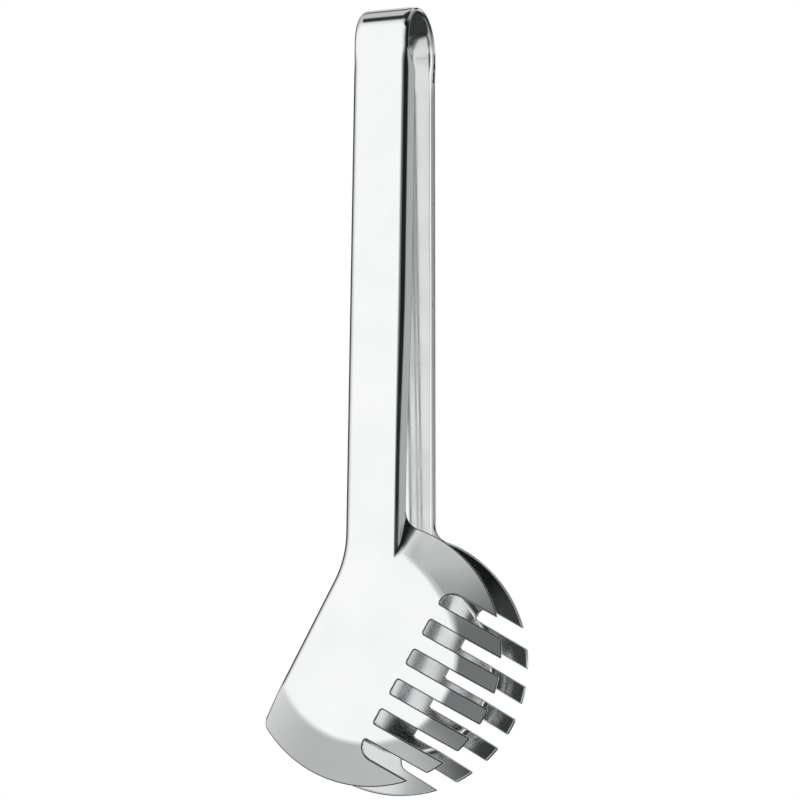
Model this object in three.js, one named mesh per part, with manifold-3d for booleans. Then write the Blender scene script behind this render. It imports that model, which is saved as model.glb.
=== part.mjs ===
// Pasta tongs: one stainless sheet folded over into a spring bow. Each end of the sheet is a
// straight channel handle that runs into a tilted, dished and slotted claw head, and the two
// claws face each other. Millimetres, +Z up as the tongs hang, +Y to the back. The origin is
// the middle of the underside of the bow, where a rail or a hook carries the tongs.
import * as THREE from "three";
import { mergeVertices } from "three/addons/utils/BufferGeometryUtils.js";
import Module from "manifold-3d";

// Sheet and spring bow
const sheetThickness = 1.0;
const stripWidth = 20.1; // the plain strip over the bow
const bowOuterRadius = 14.5;
const bowLegLength = 2.0; // straight leg of the bow below the end of its arc
const flexGap = 0.3; // seam left where the sheet flexes between bow and handle
const armSpread = THREE.MathUtils.degToRad(1.22); // lean of each arm away from the middle

// Arm, measured along the outer face from the end of the bow's arc
const armDepth = 5.2; // outer face to the outer corner of the flange or claw rim
const flangeStart = 2.9; // the flanges begin to turn in here
const flangeFull = 11.5; // and have their full depth from here on
const handleRimWidth = 22.2; // flange edge to flange edge
const flangeReach = 3.7; // flat face to flange edge, across the handle
const flangeAngle = THREE.MathUtils.degToRad(75); // turn of the fold between face and flange
const handleLength = 155; // the handle ends and the claw head begins
const neckReach = 2.6; // flat face to flange edge at the neck, above the head's upper side
const neckTaper = 70; // the last stretch of the handle, where that flange comes in to it

// Claw head, in its own tilted axes: u out along the prongs, v across them
const headTilt = THREE.MathUtils.degToRad(30);
const headSideOffset = 1.45; // centre of the head beside the middle of the handle
const headDrop = 59.2; // centre of the head below the end of the handle
const clawLength = 46; // semi-axis of the rim along u
const clawHalfWidth = 44.5; // semi-axis of the rim along v
const clawSetback = 3; // centre of the rim's ellipse behind the centre of the head
const dishWidth = 16; // rim to the flat middle
const dishWidthAtNeck = 13.2; // the same where the upper side runs into the flange
const dishBendRadius = 10; // of the bend between the flat middle and the sloping dish
const backEdgeOffset = 27.1; // centre of the head to the straight folded edge behind it
const backEdgeLean = THREE.MathUtils.degToRad(2);
const backEdgeSquareLength = 8; // the fold stays square to this far below the centre
const heelRadius = 4; // lower corner of the rim, between folded edge and dish
const flatHeelRadius = 3;
const backNeckRadius = 33; // hollow curve from the handle into the folded edge
const frontNeckRadius = 7; // hollow curve of the rim where the claw's upper side meets the flange
const flatNeckRadius = 0.8; // the same corner of the flat middle, where the crease ends

// Slots between the prongs
const slotCount = 6;
const slotWidth = 5.4;
const slotPitch = 11.3;
const slotStart = 11.3; // closed ends, out from the centre of the head
const slotCornerRadius = 0.8;
const outerSlotRadius = 4.3; // the first and last slot are rounded on their outer side
const cutterOverrun = 3;

// Facets
const bendSteps = 5; // levels in the bend of a flange
const wallSteps = 2; // levels in its straight wall
const rampSteps = 6;
const taperSteps = 4;
const bowSteps = 36;
const neckSteps = 8;
const heelSteps = 8;
const lowerRimSteps = 12;
const rimSteps = 34;
const upperRimSteps = 14;
const shoulderSteps = 8;

const handleRimX = handleRimWidth / 2;
const handleFlatX = handleRimX - flangeReach;
const headDistance = handleLength + headDrop;

const wasm = await Module();
wasm.setup();

// Outlines of the arm

// Points are (x, distance down the arm).
const alongU = new THREE.Vector2(Math.cos(headTilt), Math.sin(headTilt));
const alongV = new THREE.Vector2(-Math.sin(headTilt), Math.cos(headTilt));
const headCentre = new THREE.Vector2(headSideOffset, headDistance);

function headPoint(u, v) {
  return headCentre.clone().addScaledVector(alongU, u).addScaledVector(alongV, v);
}

// An ellipse in the head's axes, with its outward normal; inset draws it in on all sides.
function ellipse(inset) {
  const a = clawLength - inset;
  const b = clawHalfWidth - inset;
  return {
    point: (t) => headPoint(a * Math.cos(t) - clawSetback, b * Math.sin(t)),
    normal: (t) =>
      new THREE.Vector2()
        .addScaledVector(alongU, b * Math.cos(t))
        .addScaledVector(alongV, a * Math.sin(t))
        .normalize(),
  };
}

function ellipsePoints(insetAt, from, to, steps) {
  const points = [];
  for (let i = 0; i <= steps; i++) {
    const t = from + ((to - from) * i) / steps;
    points.push(ellipse(insetAt(t)).point(t));
  }
  return points;
}

// A circular arc about centre, from one point on it to another the short way round.
function arcPoints(centre, start, end, steps) {
  const a = start.clone().sub(centre);
  const b = end.clone().sub(centre);
  const turn = Math.atan2(a.cross(b), a.dot(b));
  const points = [];
  for (let i = 0; i <= steps; i++) {
    points.push(start.clone().rotateAround(centre, (turn * i) / steps));
  }
  return points;
}

function bisect(fn, low, high) {
  const rising = fn(high) > fn(low);
  for (let i = 0; i < 60; i++) {
    const middle = (low + high) / 2;
    if (fn(middle) > 0 === rising) high = middle;
    else low = middle;
  }
  return (low + high) / 2;
}

// The straight folded edge behind the head: a point on it, its direction down and its outward
// normal; inset moves it into the head.
const edgeDown = alongV.clone().rotateAround(new THREE.Vector2(), -backEdgeLean);
const edgeOut = new THREE.Vector2(-edgeDown.y, edgeDown.x);

function edgePoint(distance, inset) {
  return headPoint(-backEdgeOffset, 0)
    .addScaledVector(edgeDown, distance)
    .addScaledVector(edgeOut, -inset);
}

// From the handle into the folded edge: both lines round one centre left of the sheet.
function backNeck(inset) {
  const centreX = -handleRimX - backNeckRadius;
  const base = edgePoint(0, 0);
  const centreY = base.y + (backNeckRadius - (centreX - base.x) * edgeOut.x) / edgeOut.y;
  const centre = new THREE.Vector2(centreX, centreY);
  const radius = backNeckRadius + inset;
  const top = new THREE.Vector2(centreX + radius, centreY);
  const bottom = centre.clone().addScaledVector(edgeOut, -radius);
  return arcPoints(centre, top, bottom, neckSteps);
}

// From the folded edge round the heel to the lower side of the head, down to angle to.
function heel(edgeInset, ringInset, radius, to) {
  const curve = ellipse(ringInset);
  const base = edgePoint(0, edgeInset);
  const centreAt = (t) => curve.point(t).addScaledVector(curve.normal(t), -radius);
  const t = bisect((s) => centreAt(s).sub(base).dot(edgeOut) + radius, Math.PI / 2, Math.PI);
  const centre = centreAt(t);
  const onEdge = centre.clone().addScaledVector(edgeOut, radius);
  return [
    edgePoint(backEdgeSquareLength, edgeInset),
    ...arcPoints(centre, onEdge, curve.point(t), heelSteps),
    ...ellipsePoints(() => ringInset, t, to, lowerRimSteps).slice(1),
  ];
}

// From the upper side of the head, at angle from, round the hollow neck and up the handle.
function shoulder(insetAt, lineX, radius, from) {
  const centreAt = (t) => {
    const curve = ellipse(insetAt(t));
    return curve.point(t).addScaledVector(curve.normal(t), radius);
  };
  const t = bisect((s) => centreAt(s).x - lineX - radius, -Math.PI, -Math.PI / 2);
  const centre = centreAt(t);
  const onLine = new THREE.Vector2(lineX, centre.y);
  const start = ellipse(insetAt(t)).point(t);
  return [
    ...ellipsePoints(insetAt, from, t, upperRimSteps),
    ...arcPoints(centre, start, onLine, shoulderSteps).slice(1),
    new THREE.Vector2(lineX, handleLength),
  ];
}

// Levels of the sheet

// A fold leaves the flat face in an arc and goes on straight until it has reached its width
// and its depth. This is how far out it is at a given depth.
const foldRadius = (width, depth, turn) =>
  (width * Math.sin(turn) - depth * Math.cos(turn)) / (1 - Math.cos(turn));

function foldReach(width, depth, turn, at) {
  const radius = foldRadius(width, depth, turn);
  const arcDepth = radius * (1 - Math.cos(turn));
  if (at < arcDepth) return Math.sqrt(at * (2 * radius - at));
  return radius * Math.sin(turn) + (at - arcDepth) / Math.tan(turn);
}

const dishTurn = bisect(
  (turn) => foldRadius(dishWidth, armDepth, turn) - dishBendRadius,
  Math.atan2(armDepth, dishWidth),
  2 * Math.atan2(armDepth, dishWidth),
);

// The sheet is drawn by its contours at these depths. Each level says how far out of the
// flange and of the dish its contour is, as shares of their widths.
function levelAt(depth) {
  return {
    depth,
    rise: depth / armDepth,
    flange: foldReach(flangeReach, armDepth, flangeAngle, depth) / flangeReach,
    dish: foldReach(dishWidth, armDepth, dishTurn, depth) / dishWidth,
  };
}

const flangeBend = foldRadius(flangeReach, armDepth, flangeAngle);
const bendDepth = flangeBend * (1 - Math.cos(flangeAngle));
const levels = [];
for (let k = 0; k <= bendSteps; k++) {
  levels.push(levelAt(flangeBend * (1 - Math.cos((flangeAngle * k) / bendSteps))));
}
for (let k = 1; k <= wallSteps; k++) {
  levels.push(levelAt(THREE.MathUtils.lerp(bendDepth, armDepth, k / wallSteps)));
}

// A station is one line across the sheet, with a point (x, distance, depth) at each level.
// reach is the flange's width at the neck.
function handleStations(side, reach) {
  const taperStart = handleLength - neckTaper;
  const at = (distance, share) => {
    const taper = THREE.MathUtils.smoothstep(distance, taperStart, handleLength);
    const fullX = handleFlatX + THREE.MathUtils.lerp(flangeReach, reach, taper);
    const rimX = THREE.MathUtils.lerp(stripWidth / 2, fullX, share);
    return levels.map(
      (level) =>
        new THREE.Vector3(
          side * THREE.MathUtils.lerp(handleFlatX, rimX, level.flange),
          distance,
          level.depth * share,
        ),
    );
  };
  const stations = [at(bowLegLength + flexGap, 0)];
  for (let i = 0; i <= rampSteps; i++) {
    const distance = THREE.MathUtils.lerp(flangeStart, flangeFull, i / rampSteps);
    stations.push(at(distance, THREE.MathUtils.smoothstep(distance, flangeStart, flangeFull)));
  }
  for (let i = 0; i <= taperSteps; i++) {
    stations.push(at(THREE.MathUtils.lerp(taperStart, handleLength, i / taperSteps), 1));
  }
  return stations;
}

function headContour(level) {
  const lowerEnd = THREE.MathUtils.degToRad(92);
  const upperEnd = THREE.MathUtils.degToRad(-60);
  const neckEnd = THREE.MathUtils.degToRad(-100);
  const edgeInset = flangeReach * (1 - level.flange);
  const lineX = handleFlatX + neckReach * level.flange;
  const insetAt = (t) =>
    (1 - level.dish) *
    THREE.MathUtils.lerp(
      dishWidth,
      dishWidthAtNeck,
      THREE.MathUtils.smoothstep(-t, -upperEnd, -neckEnd),
    );
  const heelAt = THREE.MathUtils.lerp(flatHeelRadius, heelRadius, level.rise);
  const neckAt = THREE.MathUtils.lerp(flatNeckRadius, frontNeckRadius, level.rise);
  return [
    new THREE.Vector2(edgeInset - handleRimX, handleLength),
    ...backNeck(edgeInset),
    ...heel(edgeInset, insetAt(0), heelAt, lowerEnd),
    ...ellipsePoints(insetAt, lowerEnd, upperEnd, rimSteps).slice(1, -1),
    ...shoulder(insetAt, lineX, neckAt, upperEnd),
  ];
}

function headStations() {
  const contours = levels.map(headContour);
  return contours[0].map((_, i) =>
    contours.map((contour, k) => new THREE.Vector3(contour[i].x, contour[i].y, levels[k].depth)),
  );
}

// The inner side of a chain of stations, one thickness in along the surface's normal; the
// ends of the chain stay square.
function innerSide(chain) {
  const flat = new THREE.Vector3(0, 0, 1);
  return chain.map((station, i) => {
    const before = chain[i - 1] ?? station;
    const after = chain[i + 1] ?? station;
    return station.map((point, k) => {
      if (k === 0) return point.clone().addScaledVector(flat, sheetThickness);
      const along = after[k].clone().sub(before[k]);
      const up = point.clone().sub(station[k - 1]);
      const across = up.clone().normalize();
      if (k < station.length - 1) {
        const next = station[k + 1].clone().sub(point);
        across.multiplyScalar(next.length()).addScaledVector(next.normalize(), up.length());
      }
      const inward = along.cross(across);
      if (before === station || after === station) inward.y = 0;
      inward.normalize();
      if (inward.z < 0) inward.negate();
      return point.clone().addScaledVector(inward, sheetThickness);
    });
  });
}

// Solids from stations

// Chains of stations run round the sheet; between one chain and the next it is cut straight
// across. The flat face is filled by the triangles that fill returns.
function sheetSolid(chains, fill) {
  const positions = [];
  const faces = [];
  const rows = [];
  const addPoint = (p) => positions.push(p.x, p.y, p.z) / 3 - 1;
  const quad = (a, b, c, d) => faces.push([a, b, c], [a, c, d]);

  for (const chain of chains) {
    const inside = innerSide(chain);
    const row = chain.map((station, i) => ({
      flat: new THREE.Vector2(station[0].x, station[0].y),
      outer: station.map(addPoint),
      inner: inside[i].map(addPoint),
    }));
    rows.push(row);
    for (let i = 0; i < row.length - 1; i++) {
      const a = row[i];
      const b = row[i + 1];
      for (let j = 0; j < levels.length - 1; j++) {
        quad(a.outer[j], a.outer[j + 1], b.outer[j + 1], b.outer[j]);
        quad(a.inner[j], b.inner[j], b.inner[j + 1], a.inner[j + 1]);
      }
      quad(a.outer.at(-1), a.inner.at(-1), b.inner.at(-1), b.outer.at(-1));
    }
    const first = row[0];
    const last = row.at(-1);
    for (let j = 0; j < levels.length - 1; j++) {
      quad(first.outer[j], first.inner[j], first.inner[j + 1], first.outer[j + 1]);
      quad(last.outer[j + 1], last.inner[j + 1], last.inner[j], last.outer[j]);
    }
  }
  rows.forEach((row, i) => {
    const end = row.at(-1);
    const start = rows[(i + 1) % rows.length][0];
    quad(end.outer[0], end.inner[0], start.inner[0], start.outer[0]);
  });
  for (const [a, b, c] of fill(rows)) {
    const turn = b.flat.clone().sub(a.flat).cross(c.flat.clone().sub(a.flat));
    const [p, q] = turn > 0 ? [b, c] : [c, b];
    faces.push([a.inner[0], p.inner[0], q.inner[0]], [a.outer[0], q.outer[0], p.outer[0]]);
  }
  return { positions, faces };
}

function fillPolygon(rows) {
  const ring = rows.flat();
  return THREE.ShapeUtils.triangulateShape(ring.map((r) => r.flat.clone()), []).map((face) =>
    face.map((k) => ring[k]),
  );
}

function fillAcross([left, right]) {
  const triangles = [];
  for (let i = 0; i < left.length - 1; i++) {
    const a = right[right.length - 1 - i];
    const b = right[right.length - 2 - i];
    triangles.push([left[i], left[i + 1], b], [left[i], b, a]);
  }
  return triangles;
}

// Joining and cutting solids

function toManifold(geometry) {
  const bare = geometry.index ? geometry.toNonIndexed() : geometry.clone();
  bare.deleteAttribute("normal");
  bare.deleteAttribute("uv");
  const merged = mergeVertices(bare);
  return new wasm.Manifold(
    new wasm.Mesh({
      numProp: 3,
      vertProperties: new Float32Array(merged.attributes.position.array),
      triVerts: new Uint32Array(merged.index.array),
    }),
  );
}

function fromManifold(solid) {
  const { vertProperties, triVerts } = solid.getMesh();
  const geometry = new THREE.BufferGeometry();
  geometry.setAttribute("position", new THREE.BufferAttribute(new Float32Array(vertProperties), 3));
  geometry.setIndex(new THREE.BufferAttribute(new Uint32Array(triVerts), 1));
  return geometry;
}

function toGeometry({ positions, faces }) {
  const geometry = new THREE.BufferGeometry();
  geometry.setAttribute("position", new THREE.Float32BufferAttribute(positions, 3));
  geometry.setIndex(faces.flat());
  return geometry;
}

// Sub-parts

// A slot's outline in the head's axes: two corners at the closed end, open past the rim.
function slotCutter(index) {
  const v = (index - (slotCount - 1) / 2) * slotPitch;
  const low = v - slotWidth / 2;
  const high = v + slotWidth / 2;
  const far = clawLength + cutterOverrun;
  const lowRadius = index === 0 ? outerSlotRadius : slotCornerRadius;
  const highRadius = index === slotCount - 1 ? outerSlotRadius : slotCornerRadius;
  const outline = new THREE.Shape();
  outline.moveTo(far, low);
  outline.lineTo(far, high);
  outline.lineTo(slotStart + highRadius, high);
  outline.absarc(slotStart + highRadius, high - highRadius, highRadius, Math.PI / 2, Math.PI);
  outline.absarc(slotStart + lowRadius, low + lowRadius, lowRadius, Math.PI, 1.5 * Math.PI);
  outline.closePath();
  const depth = armDepth + sheetThickness + 2 * cutterOverrun;
  const cutter = new THREE.ExtrudeGeometry(outline, { depth, bevelEnabled: false, curveSegments: 6 });
  const axes = new THREE.Matrix4().makeBasis(
    new THREE.Vector3(alongU.x, alongU.y, 0),
    new THREE.Vector3(alongV.x, alongV.y, 0),
    new THREE.Vector3(0, 0, 1),
  );
  axes.setPosition(headCentre.x, headCentre.y, -cutterOverrun);
  return toManifold(cutter.applyMatrix4(axes));
}

function handleGeometry() {
  const chains = [handleStations(-1, flangeReach), handleStations(1, neckReach).reverse()];
  return toGeometry(sheetSolid(chains, fillAcross));
}

function headGeometry() {
  let head = toManifold(toGeometry(sheetSolid([headStations()], fillPolygon)));
  for (let i = 0; i < slotCount; i++) head = head.subtract(slotCutter(i));
  return fromManifold(head);
}

// The bow's section in (y, z) about the centre of its arc, extruded over the strip's width.
function bowGeometry() {
  const legDown = new THREE.Vector2(Math.sin(armSpread), -Math.cos(armSpread));
  const legEnd = (radius) =>
    new THREE.Vector2(radius * Math.cos(armSpread), radius * Math.sin(armSpread)).addScaledVector(
      legDown,
      bowLegLength,
    );
  const innerRadius = bowOuterRadius - sheetThickness;
  const outer = legEnd(bowOuterRadius);
  const inner = legEnd(innerRadius);
  const section = new THREE.Shape();
  section.moveTo(outer.x, outer.y);
  section.absarc(0, 0, bowOuterRadius, armSpread, Math.PI - armSpread);
  section.lineTo(-outer.x, outer.y);
  section.lineTo(-inner.x, inner.y);
  section.absarc(0, 0, innerRadius, Math.PI - armSpread, armSpread, true);
  section.lineTo(inner.x, inner.y);
  section.closePath();
  const bow = new THREE.ExtrudeGeometry(section, {
    depth: stripWidth,
    bevelEnabled: false,
    curveSegments: bowSteps,
  });
  const axes = new THREE.Matrix4().makeBasis(
    new THREE.Vector3(0, 1, 0),
    new THREE.Vector3(0, 0, 1),
    new THREE.Vector3(1, 0, 0),
  );
  return bow.applyMatrix4(axes).translate(-stripWidth / 2, 0, 0);
}

// Scene graph

const steel = (color) => new THREE.MeshStandardMaterial({ color, metalness: 1, roughness: 0.12 });

function piece(name, geometry, color) {
  const mesh = new THREE.Mesh(geometry, steel(color));
  mesh.name = name;
  return mesh;
}

// An arm's (x, distance down, depth) placed on the bow: side is -1 for the front arm and 1
// for the back one, its mirror image.
function armFrame(side) {
  const frame = new THREE.Matrix4().makeBasis(
    new THREE.Vector3(1, 0, 0),
    new THREE.Vector3(0, side * Math.sin(armSpread), -Math.cos(armSpread)),
    new THREE.Vector3(0, -side * Math.cos(armSpread), -Math.sin(armSpread)),
  );
  return frame.setPosition(
    0,
    side * bowOuterRadius * Math.cos(armSpread),
    bowOuterRadius * Math.sin(armSpread),
  );
}

function mirrored(geometry) {
  const turned = geometry.clone();
  const index = turned.index.array.slice();
  for (let i = 0; i < index.length; i += 3) [index[i + 1], index[i + 2]] = [index[i + 2], index[i + 1]];
  turned.setIndex(new THREE.BufferAttribute(index, 1));
  return turned;
}

const tongs = new THREE.Group();
tongs.position.z = sheetThickness - bowOuterRadius;
tongs.add(piece("spring_bow", bowGeometry(), 0xd4d6d8));

const handle = handleGeometry();
const head = headGeometry();
const front = armFrame(-1);
const back = armFrame(1);
tongs.add(piece("front_handle", handle.clone().applyMatrix4(front), 0xdcdee0));
tongs.add(piece("front_head", head.clone().applyMatrix4(front), 0xdcdee0));
tongs.add(piece("back_handle", mirrored(handle).applyMatrix4(back), 0xc9cbcd));
tongs.add(piece("back_head", mirrored(head).applyMatrix4(back), 0xc9cbcd));

export default tongs;
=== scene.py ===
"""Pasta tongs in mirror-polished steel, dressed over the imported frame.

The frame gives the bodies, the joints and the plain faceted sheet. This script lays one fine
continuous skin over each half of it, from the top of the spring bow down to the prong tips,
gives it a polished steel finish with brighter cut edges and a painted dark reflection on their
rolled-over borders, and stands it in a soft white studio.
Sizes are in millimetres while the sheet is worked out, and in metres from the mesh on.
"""

import logging
import math
from dataclasses import dataclass, field
from enum import Enum
from typing import Callable, Iterable, Sequence

import bpy
import numpy as np
from mathutils import Matrix, Vector
from mathutils.bvhtree import BVHTree
from mathutils.geometry import delaunay_2d_cdt


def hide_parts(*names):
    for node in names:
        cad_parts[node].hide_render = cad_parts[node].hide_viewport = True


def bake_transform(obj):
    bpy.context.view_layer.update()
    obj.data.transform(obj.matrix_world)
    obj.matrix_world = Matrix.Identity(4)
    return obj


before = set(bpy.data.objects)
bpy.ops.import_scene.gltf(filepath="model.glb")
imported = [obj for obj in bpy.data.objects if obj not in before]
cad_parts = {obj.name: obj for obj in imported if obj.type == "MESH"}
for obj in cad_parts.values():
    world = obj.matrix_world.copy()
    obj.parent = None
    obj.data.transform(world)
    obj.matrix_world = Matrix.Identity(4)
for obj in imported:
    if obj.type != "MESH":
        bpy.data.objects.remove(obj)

log = logging.getLogger("tongs")
MM = 0.001
HALVINGS = 60
SHORTEST_STEP = 1e-9
SHORTEST_NORMAL = 1e-12
FLAT_NORMAL = (0.0, 0.0, -1.0)


class Side(Enum):
    """Which of the two mirrored arms a piece belongs to."""

    FRONT = -1
    BACK = 1

    @property
    def body(self) -> str:
        """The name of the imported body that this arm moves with."""
        return "front_arm" if self is Side.FRONT else "back_arm"

    @property
    def nodes(self) -> tuple[str, ...]:
        """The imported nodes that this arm's skin stands for.

        Returns:
            The names of the bow, the arm's handle and the arm's head.
        """
        if self is Side.FRONT:
            return ("spring_bow", "front_handle", "front_head")
        return ("spring_bow", "back_handle", "back_head")


# Plane helpers

def arc(centre: np.ndarray, start: np.ndarray, end: np.ndarray, steps: int) -> np.ndarray:
    """Points of a circular arc, the short way round.

    Args:
        centre: Centre of the circle.
        start: First point.
        end: Last point.
        steps: Number of steps between them.

    Returns:
        An array of steps + 1 points.
    """
    a, b = start - centre, end - centre
    turn = math.atan2(a[0] * b[1] - a[1] * b[0], float(a @ b))
    t = np.linspace(0.0, turn, steps + 1)
    return centre + np.c_[a[0] * np.cos(t) - a[1] * np.sin(t), a[0] * np.sin(t) + a[1] * np.cos(t)]


def straight(start: Sequence[float], end: Sequence[float], steps: int) -> np.ndarray:
    """Evenly spaced points of a straight line, both ends kept."""
    s = np.linspace(0.0, 1.0, steps + 1)[:, None]
    return np.array(start, float) * (1 - s) + np.array(end, float) * s


def bisect(fn: Callable[[float], float], low: float, high: float) -> float:
    """Where a monotone function crosses zero.

    Args:
        fn: The function, which rises all the way or falls all the way.
        low: Lower end of the range.
        high: Upper end of the range.

    Returns:
        The place of the crossing.
    """
    rising = fn(high) > fn(low)
    for _ in range(HALVINGS):
        middle = (low + high) / 2
        if (fn(middle) > 0) == rising:
            high = middle
        else:
            low = middle
    return (low + high) / 2


def lengths(points: np.ndarray) -> np.ndarray:
    """Running length of a polyline at each of its points."""
    return np.r_[0.0, np.cumsum(np.linalg.norm(np.diff(points, axis=0), axis=1))]


def resample(points: np.ndarray, at: np.ndarray) -> np.ndarray:
    """Points of a polyline at the given running lengths."""
    s = lengths(points)
    return np.c_[[np.interp(at, s, points[:, k]) for k in range(points.shape[1])]].T


def resample_at(rows: np.ndarray, run: np.ndarray, at: float) -> np.ndarray:
    """One row between those of a table, at a running value.

    Args:
        rows: The table.
        run: The running value of each row, rising.
        at: The running value that is asked for.

    Returns:
        The row, mixed from its two neighbours.
    """
    i = int(np.clip(np.searchsorted(run, at) - 1, 0, len(run) - 2))
    f = min(max((at - run[i]) / (run[i + 1] - run[i]), 0.0), 1.0)
    return rows[i] * (1 - f) + rows[i + 1] * f


def slopes(points: np.ndarray, axis: int) -> np.ndarray:
    """Directions along one axis of a grid of points, to the second order for uneven steps.

    Args:
        points: The grid, with x, y and z on its last axis.
        axis: The axis to go along.

    Returns:
        A grid of directions of about unit length.
    """
    p = np.moveaxis(points, axis, 0)
    step = np.diff(p, axis=0)
    size = np.maximum(np.linalg.norm(step, axis=2, keepdims=True), SHORTEST_STEP)
    step = step / size
    found = np.empty_like(p)
    found[1:-1] = (step[1:] * size[:-1] + step[:-1] * size[1:]) / (size[1:] + size[:-1])
    found[0] = 2 * step[0] - found[1]
    found[-1] = 2 * step[-1] - found[-2]
    return np.moveaxis(found, 0, axis)


def smooth_step(value: np.ndarray | float, low: float, high: float) -> np.ndarray | float:
    """A smooth rise from 0 at low to 1 at high."""
    s = np.clip((value - low) / (high - low), 0.0, 1.0)
    return s * s * (3 - 2 * s)


def enclosed(points: np.ndarray, loop: np.ndarray) -> np.ndarray:
    """Which points of the plane lie inside a closed loop.

    Args:
        points: The points.
        loop: Corners of the loop in order, without the first one again at the end.

    Returns:
        A flag for each point.
    """
    inside = np.zeros(len(points), bool)
    for a, b in zip(loop, np.roll(loop, -1, axis=0)):
        if a[1] == b[1]:
            continue
        crosses = (points[:, 1] >= min(a[1], b[1])) & (points[:, 1] < max(a[1], b[1]))
        crossing = a[0] + (points[:, 1] - a[1]) * (b[0] - a[0]) / (b[1] - a[1])
        inside ^= crosses & (points[:, 0] < crossing)
    return inside


# Sizes

@dataclass(frozen=True)
class BowSizes:
    """The plain strip and its spring bow, in millimetres."""

    thickness: float = 1.0
    strip_width: float = 20.1
    outer_radius: float = 14.5
    leg: float = 2.0
    spread: float = math.radians(1.22)
    roll_depth: float = 1.1
    roll_width: float = 3.0

    @property
    def arc_length(self) -> float:
        """Length of a quarter of the bow along its outer face."""
        return self.outer_radius * (math.pi / 2 - self.spread)

    @property
    def centre_z(self) -> float:
        """Height of the centre of the bow's arc above the origin, under the bow."""
        return self.thickness - self.outer_radius

    @property
    def foot_z(self) -> float:
        """Height under which the skin follows the arm alone, a leg's length below the centre."""
        return self.centre_z - self.leg


@dataclass(frozen=True)
class Fold:
    """A fold out of the flat face: an arc that goes on straight to its rim, in millimetres."""

    width: float
    depth: float
    turn: float

    @property
    def radius(self) -> float:
        """Radius of the arc."""
        reach = self.width * math.sin(self.turn) - self.depth * math.cos(self.turn)
        return reach / (1 - math.cos(self.turn))

    @property
    def arc_depth(self) -> float:
        """Depth at the end of the arc."""
        return self.radius * (1 - math.cos(self.turn))

    def share(self, depth: np.ndarray) -> np.ndarray:
        """How far out the fold is at each depth.

        Args:
            depth: Depths below the flat face.

        Returns:
            Shares of the fold's width.
        """
        arc_part = np.sqrt(np.maximum(depth * (2 * self.radius - depth), 0.0))
        wall = self.radius * math.sin(self.turn) + (depth - self.arc_depth) / math.tan(self.turn)
        return np.where(depth < self.arc_depth, arc_part, wall) / self.width


@dataclass(frozen=True)
class HandleSizes:
    """The channel section of a handle, in millimetres."""

    depth: float = 5.2
    flange_start: float = 2.9
    flange_full: float = 11.5
    rim_width: float = 22.2
    flange_reach: float = 3.7
    flange_angle: float = math.radians(75)
    length: float = 155.0
    neck_reach: float = 2.6
    neck_taper: float = 70.0

    @property
    def rim_x(self) -> float:
        """Half the width over the flange edges."""
        return self.rim_width / 2

    @property
    def flat_x(self) -> float:
        """Half the width of the flat face."""
        return self.rim_x - self.flange_reach

    @property
    def fold(self) -> Fold:
        """The fold between the flat face and a flange."""
        return Fold(self.flange_reach, self.depth, self.flange_angle)


@dataclass(frozen=True)
class ClawSizes:
    """The dished, slotted claw head in its own tilted axes, in millimetres."""

    tilt: float = math.radians(30)
    side_offset: float = 1.45
    drop: float = 59.2
    length: float = 46.0
    half_width: float = 44.5
    setback: float = 3.0
    dish_width: float = 16.0
    dish_width_at_neck: float = 13.2
    dish_bend_radius: float = 10.0
    back_edge_offset: float = 27.1
    back_edge_lean: float = math.radians(2)
    back_edge_square: float = 8.0
    heel_radius: float = 4.0
    flat_heel_radius: float = 3.0
    back_neck_radius: float = 33.0
    front_neck_radius: float = 7.0
    flat_neck_radius: float = 0.8
    slot_count: int = 6
    slot_width: float = 5.4
    slot_pitch: float = 11.3
    slot_start: float = 11.3
    slot_corner: float = 0.8
    outer_slot_corner: float = 4.3

    def dish(self, depth: float) -> Fold:
        """The fold between the flat middle and the rim, with the bend's own radius.

        Args:
            depth: Depth of the rim.

        Returns:
            The fold.
        """
        slope = math.atan2(depth, self.dish_width)
        turn = bisect(
            lambda t: Fold(self.dish_width, depth, t).radius - self.dish_bend_radius, slope, 2 * slope
        )
        return Fold(self.dish_width, depth, turn)


@dataclass(frozen=True)
class Level:
    """One depth at which the sheet is drawn by its contour.

    The flange and the dish reach out there by shares of their widths.
    """

    depth: float
    rise: float
    flange: float
    dish: float


BEND_STEPS = 11
WALL_STEPS = 7


def levels_of(handle: HandleSizes, claw: ClawSizes) -> list[Level]:
    """The levels, close together in the bend of a flange and even in its wall.

    Args:
        handle: Sizes of the channel.
        claw: Sizes of the head.

    Returns:
        The levels from the flat face to the rim.
    """
    fold, dish = handle.fold, claw.dish(handle.depth)
    bend = fold.radius * (1 - np.cos(np.linspace(0.0, fold.turn, BEND_STEPS + 1)))
    wall = np.linspace(fold.arc_depth, handle.depth, WALL_STEPS + 1)[1:]
    depths = np.r_[bend, wall]
    return [
        Level(float(d), float(d) / handle.depth, float(a), float(b))
        for d, a, b in zip(depths, fold.share(depths), dish.share(depths))
    ]


# Outlines

@dataclass(frozen=True)
class ContourSteps:
    """How finely each stretch of the claw's outlines is drawn, in steps."""

    handle: int = 10
    neck: int = 26
    edge: int = 40
    heel_line: int = 26
    heel: int = 18
    lower: int = 30
    rim: int = 152
    upper: int = 36
    shoulder: int = 22
    neck_line: int = 18
    slot_corner: int = 8
    slot_side_least: int = 2


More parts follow.
